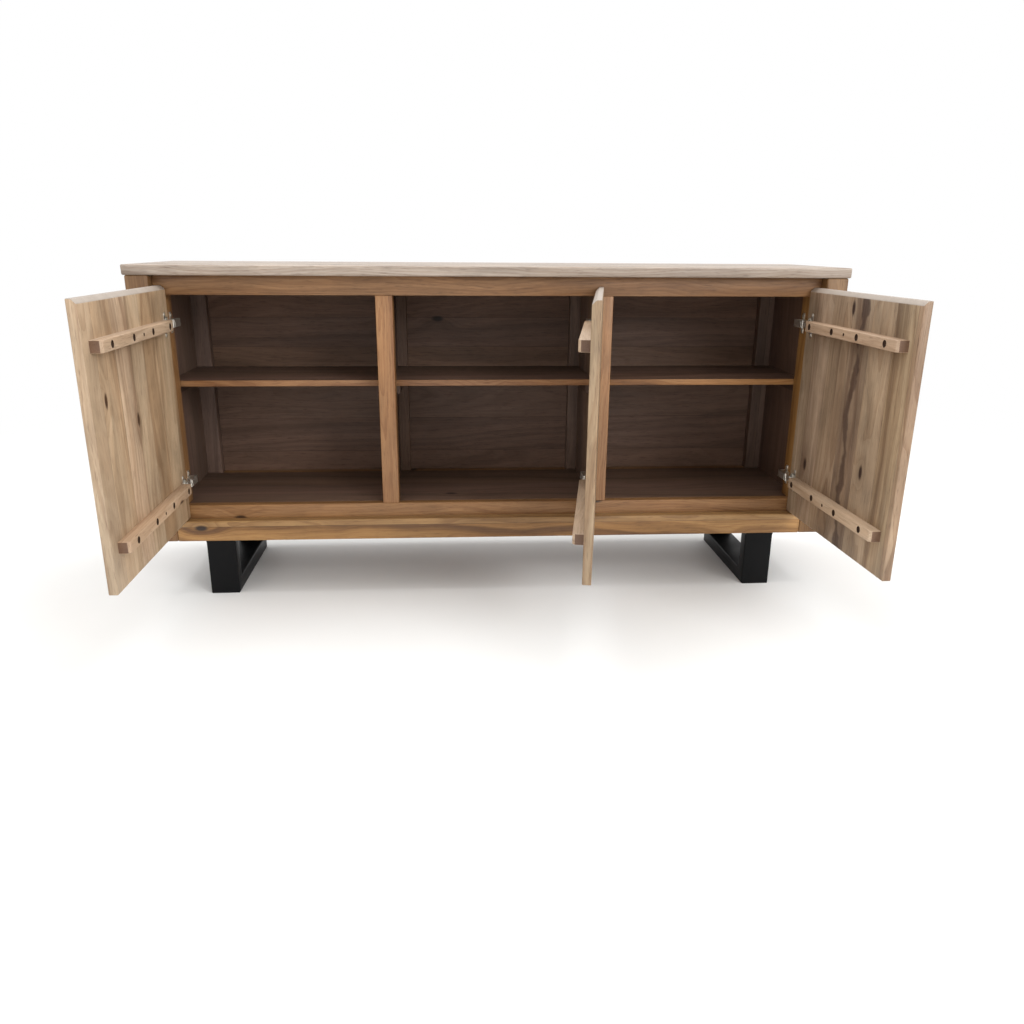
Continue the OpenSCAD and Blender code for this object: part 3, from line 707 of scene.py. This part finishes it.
# %% [markdown]
# ## Bored holes
#
# Screw holes and hinge pockets are bored after the board is planed. A boolean with round cutters
# does the same, and once it is applied in the mesh, nothing is left to go wrong later. The drill
# breaks the mouth of a small hole, so a short cone widens it. Faces inside a hole are then found
# again by their distance from its axis, and take a finish of their own.

# %% Drilling
STAND_OUT = 0.002  # how far a cutter stands out of the face
MOUTH = 0.002  # how much a screw hole widens at the face, and how deep that goes
SCREW_HOLE = 0.01  # holes of a smaller radius than this are screw holes


def cutter_for(holes):
    """Round cutters: each hole is a centre on the face, a direction into the wood, radius, depth."""
    bm = bmesh.new()
    for centre, into, radius, depth in holes:
        centre, into = Vector(centre), Vector(into)
        turn = into.to_track_quat("Z", "Y").to_matrix().to_4x4()
        shaft = Matrix.Translation(centre + into * (depth - STAND_OUT) / 2) @ turn
        bmesh.ops.create_cone(
            bm, cap_ends=True, segments=40, radius1=radius, radius2=radius, depth=depth + STAND_OUT,
            matrix=shaft,
        )
        if radius < SCREW_HOLE:
            # The cone reaches half a millimetre past the face and past the hole's own wall
            past = 0.0005
            flare = Matrix.Translation(centre + into * (MOUTH - past) / 2) @ turn
            bmesh.ops.create_cone(
                bm, cap_ends=True, segments=40, radius1=radius + MOUTH, radius2=radius - past,
                depth=MOUTH + past, matrix=flare,
            )
    return bm


def as_object(bm, name):
    """An object made of a bmesh, which is used up."""
    mesh = bpy.data.meshes.new(name)
    bm.to_mesh(mesh)
    bm.free()
    thing = bpy.data.objects.new(name, mesh)
    bpy.context.collection.objects.link(thing)
    return thing


def cut_holes(bm, holes):
    """The same bmesh with the holes cut, by a boolean on two scratch objects."""
    wood = as_object(bm, "cut_body")
    cutter = as_object(cutter_for(holes), "cutter")
    step = wood.modifiers.new("holes", "BOOLEAN")
    step.object = cutter
    step.operation = "DIFFERENCE"
    step.solver = "EXACT"
    bpy.context.view_layer.update()
    graph = bpy.context.evaluated_depsgraph_get()
    result = bmesh.new()
    result.from_mesh(wood.evaluated_get(graph).to_mesh())
    for spare in (wood, cutter):
        mesh = spare.data
        bpy.data.objects.remove(spare)
        bpy.data.meshes.remove(mesh)
    return result


def mark_bores(bm, holes):
    """Gives the walls and floors of bored holes the second finish of their piece."""
    for face in bm.faces:
        at = face.calc_center_median()
        for centre, into, radius, depth in holes:
            away = at - Vector(centre)
            down = away.dot(Vector(into))
            aside = (away - Vector(into) * down).length
            if 0.0001 < down < depth + 0.001 and aside < radius + MOUTH:
                face.material_index = 1


trial = cutter_for([((0, 0, 0), (0, 0, 1), 0.005, 0.01)])
print("faces of a cutter for one screw hole:", len(trial.faces))
trial.free()

# %% [markdown]
# ### A whole board
#
# Most of the case is plain boards, so one function makes a board from the box of its CAD part.
# Some boards are darker inside than outside, as painted shade. They could be split in two, but a
# second finish on the faces that look one way keeps each of them the single board that it is.

# %% A whole board
TURNED = 0.4  # a face belongs to a side when its normal leans this far towards it


def board(node, along, material, number, radius=EASED, holes=(), second=None, facing=None, shade=1.0):
    """A board in place of a CAD node. second is a finish for the faces that face one way; with
    holes and no second, the holes' walls are oil-soaked end grain, darkened with painted shade."""
    low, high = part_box(node)
    bm = box_mesh(low, high)
    ease(bm, radius)
    if holes:
        bm = cut_holes(bm, holes)
        mark_bores(bm, holes)
    grain_of(bm, low, high, along, number, shade)
    if second:
        for face in bm.faces:
            face.material_index = int(face.normal.dot(Vector(facing)) > TURNED)
    piece = finish_mesh(bm, node + "_wood", material, "case", [node])
    if second or holes:
        piece.data.materials.append(second or bore_soak_and_shade)
    return piece


print("a side takes faces that lean to it by, degrees:", round(math.degrees(math.acos(TURNED))))

# %% [markdown]
# ## Posts, rails, stiles and dividers
#
# The case is a frame. Its corner posts run the full height, the rails lie between them, and the
# stiles of the two dividers stand on the bottom rail. The grain always runs the long way of a
# piece. The bottom front rail is paler than the rest and has more knots. The front posts and the
# top front rail are the darkest boards of the frame, darkened as painted shade: the posts where
# the open doors shade them, the rail under the overhang of the top.

# %% Upright boards of the case
# The front posts are darkened to 0.6 as painted shade, where the open doors shade them
for count, node in enumerate(["left_front_post", "right_front_post"]):
    board(node, Z, frame_wood, 3 + count, radius=0.004, shade=0.6)
# The inner faces of the rear posts take the dark inside wood, which is painted shade
for count, node in enumerate(["left_rear_post", "right_rear_post"]):
    inward = (0.7 - 1.4 * count, -0.7, 0)
    board(node, Z, frame_wood, 7 + count, second=shaded_inner_wood, facing=inward)
for count, node in enumerate(["left_inner_stile", "right_inner_stile"]):
    board(node, Z, frame_wood, 11 + count, radius=0.0015)
for count, node in enumerate(["left_divider_stile", "right_divider_stile"]):
    board(node, Z, frame_wood, 17 + count)
# The rear stiles of the dividers stand inside, in the dark wood of painted shade
for count, node in enumerate(["left_divider_rear_stile", "right_divider_rear_stile"]):
    board(node, Z, shaded_inner_wood, 23 + count)

# %% [markdown]
# ### Rails
#
# The rails tie the posts together. The two under the top are bored from below for the screws that
# hold it, four bores to a rail, each wide enough to sink a screw head.

# %% Rails
SCREW_BORE, BORE_DEPTH = 0.0065, 0.009  # radius of a bore for a screw head, and its depth
RAIL_BORES = (-0.63, -0.21, 0.21, 0.63)

board("bottom_front_rail", X, rail_wood, 31, radius=0.003)
board("bottom_inner_rail", X, frame_wood, 33)
board("bottom_rear_rail", X, frame_wood, 34)
# The top front rail is darkened to 0.79 as painted shade, under the overhang of the top
for node, number, shade in (("top_front_rail", 35, 0.79), ("top_rear_rail", 36, 1.0)):
    low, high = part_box(node)
    bores = [
        ((x, (low.y + high.y) / 2, low.z), (0, 0, 1), SCREW_BORE, BORE_DEPTH) for x in RAIL_BORES
    ]
    board(node, X, frame_wood, number, radius=0.0015, holes=bores, shade=shade)

# %% [markdown]
# ## Panels and shelves
#
# The sides, the back, the floor and the shelves are glued panels. Inside, they see little light,
# so they use the dark finish, whose darkness is painted shade. The sides also show outside, so
# there they use the frame's, and so do the front edges of the shelves.

# %% Panels and shelves
board("left_side_panel", Z, frame_wood, 41, second=shaded_inner_wood, facing=(1, 0, 0))
board("right_side_panel", Z, frame_wood, 43, second=shaded_inner_wood, facing=(-1, 0, 0))
board("left_divider_panel", Z, shaded_inner_wood, 45, radius=0.001)
board("right_divider_panel", Z, shaded_inner_wood, 46, radius=0.001)
board("floor_panel", X, shaded_inner_wood, 47, radius=0.001)
# The back's painted shade is a little lighter than that of the other inside boards
board("back_panel", X, shaded_inner_wood, 48, radius=0.001, shade=1.12)
# Shelf tops take the painted shade of the inside wood; their front edges take the frame's
for count, node in enumerate(["left_shelf", "middle_shelf", "right_shelf"]):
    board(node, X, shaded_inner_wood, 51 + count, radius=0.0015, second=frame_wood, facing=(0, -1, 0))

# %% [markdown]
# ## The live-edge top
#
# The front and back of the slab follow the outside of the trunk, so its edges wave and lean a
# little. The block is cut finely along its length and down its front, its edges are eased, and
# the front is then pushed in by a smooth noise: long waves, short ripples and small dents. It is
# only ever pushed in, so the slab stays inside its CAD size.

# %% The top board
LONG_WAVE, RIPPLE, DENT, LEAN = 0.0045, 0.0018, 0.0012, 0.003  # how far each pushes, metres


def wave(x, per_metre, row, level=0.0):
    """A smooth noise along the board, from 0 to 1; each row is another wave."""
    return 0.5 + 0.5 * noise.noise(Vector((x * per_metre, row, level)))


def live_top():
    """The slab: finely cut, eased, then pushed in along its front and back."""
    low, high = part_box("top_board")
    bm = box_mesh(low, high)
    upright = [e for e in bm.edges if abs(e.verts[0].co.z - e.verts[1].co.z) > 0.01]
    bmesh.ops.subdivide_edges(bm, edges=upright, cuts=3, use_grid_fill=True)
    lengthways = [e for e in bm.edges if abs(e.verts[0].co.x - e.verts[1].co.x) > 0.5]
    bmesh.ops.subdivide_edges(bm, edges=lengthways, cuts=240, use_grid_fill=True)
    sharp = [e for e in bm.edges if len(e.link_faces) == 2 and e.calc_face_angle() > 1.0]
    ease(bm, 0.0035, 3, sharp)
    for vert in bm.verts:
        x, y, z = vert.co
        up = (z - low.z) / (high.z - low.z)
        long_wave = wave(x, 2.6, 3.1)
        dent = max(0.0, noise.noise(Vector((x * 38.0, 1.3, up * 2.0))))
        push = LONG_WAVE * long_wave + RIPPLE * wave(x, 11.0, 7.7, up * 0.9) + DENT * dent
        push += LEAN * (1 - up) * wave(x, 4.0, 9.2)
        if y < low.y + 0.01:
            vert.co.y += push
            vert.co.z -= 0.0008 * long_wave * (up > 0.8)
        elif y > high.y - 0.01:
            vert.co.y -= push * 0.8
    grain_of(bm, low, high, X, 61)
    return finish_mesh(bm, "live_edge_top", top_wood, "case", ["top_board"])


print("top board faces:", len(live_top().data.polygons))

# %% [markdown]
# ## Doors
#
# A door is a panel of narrow upright staves, with two battens screwed across its inner face to
# keep it flat. Each door is made closed, in its own directions: from its hinge edge to its free
# edge, from its front to its inner face, and up. One matrix then carries it to its open place on
# its hinges. The sizes come from the left door, which stands open by a right angle, so that its
# box in the frame is the size of the door itself.

# %% Where each open door is
DOORS = {
    # side it turns to, degrees open, first board number, wood, tone, partly painted shade
    "left": (1, 90.0, 71, door_wood, 0.95),
    # The middle and right doors turn their inner faces away from the key light; their darker tones are
    # painted shade
    "middle": (-1, 80.0, 81, door_wood, 0.74),
    "right": (-1, 91.0, 97, heart_wood, 0.86),
}
CUP_PIN = (0.012, -0.0037)  # the hinge pin, from the door's inner corner at its hinge edge


def exact(length):
    """A length from the frame to the micrometre, without the noise of stored coordinates."""
    return round(length, 6)


low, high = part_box("left_door_panel")
hinge_edge = high.y
DOOR_W, DOOR_T = exact(high.y - low.y), exact(high.x - low.x)
DOOR_Z = exact(low.z), exact(high.z)
low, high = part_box("left_top_batten")
BATTEN_FROM, BATTEN_TO = exact(hinge_edge - high.y), exact(hinge_edge - low.y)
BATTEN_T, BATTEN_H = exact(high.x - low.x), exact(high.z - low.z)
# The hinges sit at the height of the battens
HINGE_Z = [exact(sum(v.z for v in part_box(f"left_{level}_batten")) / 2) for level in ("bottom", "top")]


def door_place(name):
    """The matrix that carries a door from its own directions to its open place."""
    side, degrees = DOORS[name][:2]
    turn = math.radians(degrees)
    along = Vector((side * math.cos(turn), -math.sin(turn), 0))
    inward = Vector((side * math.sin(turn), math.cos(turn), 0))
    pin = Vector(joints[name + "_door_swing"]["pos_m"])
    origin = pin - along * CUP_PIN[0] - inward * CUP_PIN[1]
    place = Matrix.Identity(4)
    for row in range(2):
        place[row][0] = along[row]
        place[row][1] = inward[row]
        place[row][3] = origin[row]
    return place


print("door, mm:", [round(1000 * v, 1) for v in (DOOR_W, DOOR_T, DOOR_Z[1] - DOOR_Z[0])])
for name in DOORS:
    print(name, "door's hinge corner:", [round(v, 4) for v in door_place(name).translation[:2]])

# %% [markdown]
# ## Door panels
#
# The top inner edge of a door is planed to a wide chamfer, where the sanded end grain shows,
# painted pale as a highlight from the light above; the other edges are only eased. Both could be
# one bevel with a weight on each edge, but two bevels, the wide one first, are easier to follow.
# The hinge cups sit in round pockets.

# %% Door panels
CUP_FROM_EDGE = 0.0225  # from the door's hinge edge to the middle of a hinge cup
CUP_POCKET = 0.01765, 0.01215  # radius and depth: a little more than the cup's own
CHAMFER = 0.009


def door_panel(name):
    """One door's panel, with its wide chamfer and the pockets for its hinge cups."""
    number, wood, shade = DOORS[name][2:]
    low, high = (0, -DOOR_T, DOOR_Z[0]), (DOOR_W, 0, DOOR_Z[1])
    bm = box_mesh(low, high)
    crown = [
        e for e in bm.edges
        if min(v.co.z for v in e.verts) > high[2] - 0.001 and min(v.co.y for v in e.verts) > -0.001
    ]
    ease(bm, CHAMFER, 1, crown)
    ease(bm, EASED)
    bm = cut_holes(bm, [((CUP_FROM_EDGE, 0, z), (0, -1, 0), *CUP_POCKET) for z in HINGE_Z])
    grain_of(bm, low, high, Z, number, shade)
    # The top faces take the pale end grain, whose paleness is a painted highlight
    for face in bm.faces:
        if face.calc_center_median().z > DOOR_Z[1] - 0.01 and face.normal.z > 0.3:
            face.material_index = 1
    node = name + "_door_panel"
    piece = finish_mesh(bm, node + "_wood", wood, name + "_door", [node], door_place(name))
    piece.data.materials.append(door_top_highlight)
    return piece


print("hinge cup pockets, mm across:", round(2000 * CUP_POCKET[0], 1))

# %% [markdown]
# ## Battens
#
# A batten is a square bar with its end corners planed off. Four screws hold it, each with its
# head sunk in a bore, and a pilot hole that was never used lies midway between the middle two.
# Its ends are darker, because end grain drinks more oil.

# %% Battens
PILOT = 0.0025, 0.008  # radius and depth of the spare pilot hole
FIRST_BORE, LAST_BORE = 0.029, 0.054  # from each end of the batten


def batten(name, level, z, number):
    """A batten whose middle lies at height z; number picks its piece of trunk."""
    low, high = (BATTEN_FROM, 0, z - BATTEN_H / 2), (BATTEN_TO, BATTEN_T, z + BATTEN_H / 2)
    bm = box_mesh(low, high)
    ends = [
        e for e in bm.edges
        if abs(e.verts[0].co.z - e.verts[1].co.z) > 0.01 and e.verts[0].co.y > 0.02
    ]
    ease(bm, 0.006, 1, ends)
    outer = [
        e for e in bm.edges
        if min(v.co.y for v in e.verts) > 0.005 or abs(e.verts[0].co.y - e.verts[1].co.y) > 0.005
    ]
    ease(bm, 0.0016, 3, outer)
    start, stop = BATTEN_FROM + FIRST_BORE, BATTEN_TO - LAST_BORE
    places = [start + (stop - start) * i / 3 for i in range(4)]
    holes = [((x, BATTEN_T, z), (0, -1, 0), SCREW_BORE, BORE_DEPTH) for x in places]
    holes.append((((places[1] + places[2]) / 2, BATTEN_T, z), (0, -1, 0), *PILOT))
    bm = cut_holes(bm, holes)
    mark_bores(bm, holes)
    grain_of(bm, low, high, X, number, 0.95)
    for face in bm.faces:
        if abs(face.normal.x) > 0.9 and not face.material_index:
            face.material_index = 2
    node = f"{name}_{level}_batten"
    piece = finish_mesh(bm, node + "_wood", batten_wood, name + "_door", [node], door_place(name))
    piece.data.materials.append(bore_soak_and_shade)
    piece.data.materials.append(batten_end)
    return piece


print("batten, mm:", [round(1000 * v, 1) for v in (BATTEN_TO - BATTEN_FROM, BATTEN_T, BATTEN_H)])

# %% [markdown]
# ### The three doors
#
# The doors are alike, but each is glued up from boards of its own, so each has its own numbers,
# wood and tone. The middle and right doors turn their inner faces away from the key light, and
# their darker tones are painted shade.

# %% The three doors
for name in DOORS:
    number = DOORS[name][2]
    panel = door_panel(name)
    batten(name, "bottom", HINGE_Z[0], number + 3)
    batten(name, "top", HINGE_Z[1], number + 5)
    print(name, "door faces:", len(panel.data.polygons))

# %% [markdown]
# ## Steel legs
#
# Each leg is rectangular tube, cut at 45 degrees, welded into a U and ground flush, so only the
# rounded long edges of the tube show. A box whose end is slanted by moving its end vertices gives
# the mitre, and the long edges are then rounded like rolled tube.

# %% Leg tubes
low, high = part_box("left_leg_bottom_tube")
TUBE_DEPTH = exact(high.z - low.z)  # the narrow side of the tube, which the mitre crosses


def leg_tube(node, long_axis):
    """One length of tube in place of a CAD node, mitred where it meets the next."""
    low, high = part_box(node)
    bm = box_mesh(low, high)
    for vert in bm.verts:
        if long_axis == Z and vert.co.z < low.z + 0.001:
            inner = vert.co.y > (low.y + high.y) / 2
            if inner == ("front" in node):
                vert.co.z = low.z + TUBE_DEPTH
        if long_axis == Y and vert.co.z > high.z - 0.001:
            vert.co.y += TUBE_DEPTH if vert.co.y < (low.y + high.y) / 2 else -TUBE_DEPTH
    long_edges = [
        e for e in bm.edges if abs(e.verts[0].co[long_axis] - e.verts[1].co[long_axis]) > 0.09
    ]
    ease(bm, 0.0035, 4, long_edges)
    return finish_mesh(bm, node + "_steel", black_steel, "case", [node])


for side in ("left", "right"):
    leg_tube(side + "_leg_front_tube", Z)
    leg_tube(side + "_leg_rear_tube", Z)
    leg_tube(side + "_leg_bottom_tube", Y)

# %% [markdown]
# ## Parts that keep their CAD shape
#
# Hinges, screws, leg plates and cleats are already the right shape, so they only take a finish.
# It is found by a word in the name of the part.

# %% Finishes on CAD nodes
FINISHES = {
    "hinge": nickel,
    "cup_screws": nickel,
    "plate_screws": nickel,
    "batten_screws": dark_zinc,
    "top_screws": dark_zinc,
    "leg_screws": dark_zinc,
    "leg_plate": black_steel,
    "shelf_cleats": cleat_wood,
}
for node, thing in frame["nodes"].items():
    for word, finish in FINISHES.items():
        if word in node:
            thing.data.materials.clear()
            thing.data.materials.append(finish)
print("CAD nodes still shown:", sum(not o.hide_render for o in frame["nodes"].values()))

# %% [markdown]
# ## Floor
#
# A plain painted studio floor, matt and nearly white. A curved backdrop would hide its far edge;
# here the floor slowly turns into a glow as white as the light around it, so that no horizon
# shows, and near the piece it still takes its shadow.

# %% Floor
FADE_FROM, FADE_TO = 1.4, 3.6  # metres from the middle of the piece

material, tree, shader = blank("pale studio floor")
place = add(tree, "ShaderNodeTexCoord").outputs["Object"]
mottle = add(tree, "ShaderNodeTexNoise", {"Vector": place, "Scale": 3.0, "Detail": 3.0}).outputs[0]
paint = add(
    tree, "ShaderNodeMix", {0: mottle, 6: colour("#F2F2F1"), 7: colour("#ECECEA")}, data_type="RGBA"
).outputs[2]
tree.links.new(paint, shader.inputs["Base Color"])
shader.inputs["Roughness"].default_value = 0.9
reach = add(tree, "ShaderNodeVectorMath", {0: place}, operation="LENGTH").outputs["Value"]
far = add(
    tree, "ShaderNodeMapRange",
    {"Value": reach, "From Min": FADE_FROM, "From Max": FADE_TO, "To Min": 0.0, "To Max": 1.0},
    interpolation_type="SMOOTHSTEP",
).outputs[0]
glow = add(tree, "ShaderNodeEmission", {"Color": (1.0, 1.0, 1.0, 1.0), "Strength": 1.0}).outputs[0]
faded = add(tree, "ShaderNodeMixShader", {0: far, 1: shader.outputs[0], 2: glow}).outputs[0]
tree.links.new(faded, tree.nodes["Material Output"].inputs["Surface"])
bm = bmesh.new()
bmesh.ops.create_grid(bm, x_segments=4, y_segments=4, size=20)
floor = as_object(bm, "floor")
floor.data.materials.append(material)
print("floor, metres:", [round(v) for v in floor.dimensions])

# %% [markdown]
# ## Light
#
# A white surround fills every shadow a little. A large soft light in front and to the right
# models the shapes, a weak one on the left opens the dark side, and a wide one overhead lights
# the top and lays the soft shadow under the case.

# %% Surround and softboxes
world = bpy.data.worlds.new("studio")
bpy.context.scene.world = world
world.use_nodes = True
surround = world.node_tree.nodes["Background"]
surround.inputs["Color"].default_value = (1.0, 1.0, 1.0, 1.0)
surround.inputs["Strength"].default_value = 1.0


def softbox(name, place, target, size, watts):
    """A rectangular light at one place that faces another."""
    lamp = bpy.data.lights.new(name, "AREA")
    lamp.shape = "RECTANGLE"
    lamp.size, lamp.size_y = size
    lamp.energy = watts
    thing = bpy.data.objects.new(name, lamp)
    thing.location = place
    thing.rotation_euler = (Vector(target) - Vector(place)).to_track_quat("-Z", "Y").to_euler()
    bpy.context.collection.objects.link(thing)


softbox("key", (2.4, -3.4, 2.3), (0, 0, 0.5), (2.2, 1.8), 84)
softbox("fill", (-2.8, -2.6, 1.9), (0, 0, 0.5), (1.8, 1.8), 10)
softbox("overhead", (0, 0.6, 3.4), (0, 0, 0.6), (3.0, 2.0), 62)

# %% [markdown]
# ## Camera
#
# The camera stands a little left of the middle, about two and a quarter metres in front of it
# and just above the top, and looks down by 19 degrees. The lens is a moderately wide one, so the
# near edges of the open doors look larger than the case, as they do to somebody who stands this
# close. The Standard view keeps whites white.

# %% Camera
CAMERA_AT = (-0.1234, -2.2434, 0.9029)
CAMERA_TURN = (71.068, -0.386, -3.859)  # degrees about X, Y and Z; 90 about X looks level

lens = bpy.data.cameras.new("camera")
lens.sensor_width = 36
lens.lens = 31.24
lens.shift_x = 0.0032
lens.shift_y = 0.0354
camera = bpy.data.objects.new("camera", lens)
camera.location = CAMERA_AT
camera.rotation_euler = [math.radians(angle) for angle in CAMERA_TURN]
bpy.context.collection.objects.link(camera)
bpy.context.scene.camera = camera
bpy.context.scene.view_settings.view_transform = "Standard"
print("camera looks down by, degrees:", round(90 - CAMERA_TURN[0], 1))

# %% [markdown]
# ## The end
#
# The view layer is brought up to date, so that every piece stands where its body puts it.

# %% The end
bpy.context.view_layer.update()
